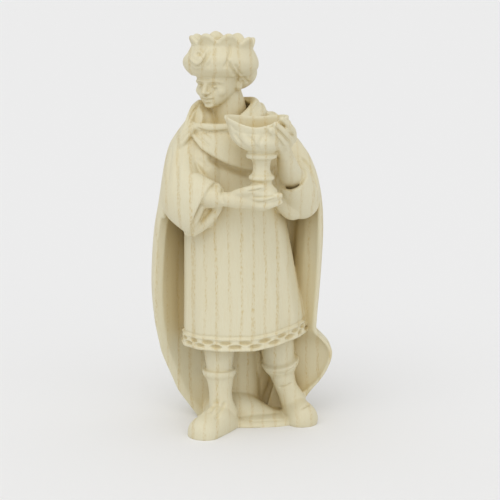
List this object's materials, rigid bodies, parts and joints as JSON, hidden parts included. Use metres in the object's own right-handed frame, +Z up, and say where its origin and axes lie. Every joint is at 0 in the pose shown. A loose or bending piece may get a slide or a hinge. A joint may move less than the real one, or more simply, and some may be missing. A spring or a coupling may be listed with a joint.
{
  "type": "nativity wise man figurine",
  "caption": "Standing wise man for a nativity set, carved whole from pale wood, in a crowned turban, tunic, boots and long cloak, holding a stemmed cup.",
  "frame": {"origin": "centre of the figure's bounding box in X and Y, on the plane he stands on", "axes": "+X to the right of someone who faces him, +Y from his front to his back, +Z up"},
  "size_m": [0.0562, 0.0502, 0.12],
  "materials": {
    "pale_wood": "unpainted pale wood with visible growth rings, sanded and left matt"
  },
  "bodies": {
    "root": {"wise_man": "pale_wood"}
  },
  "joints": []
}
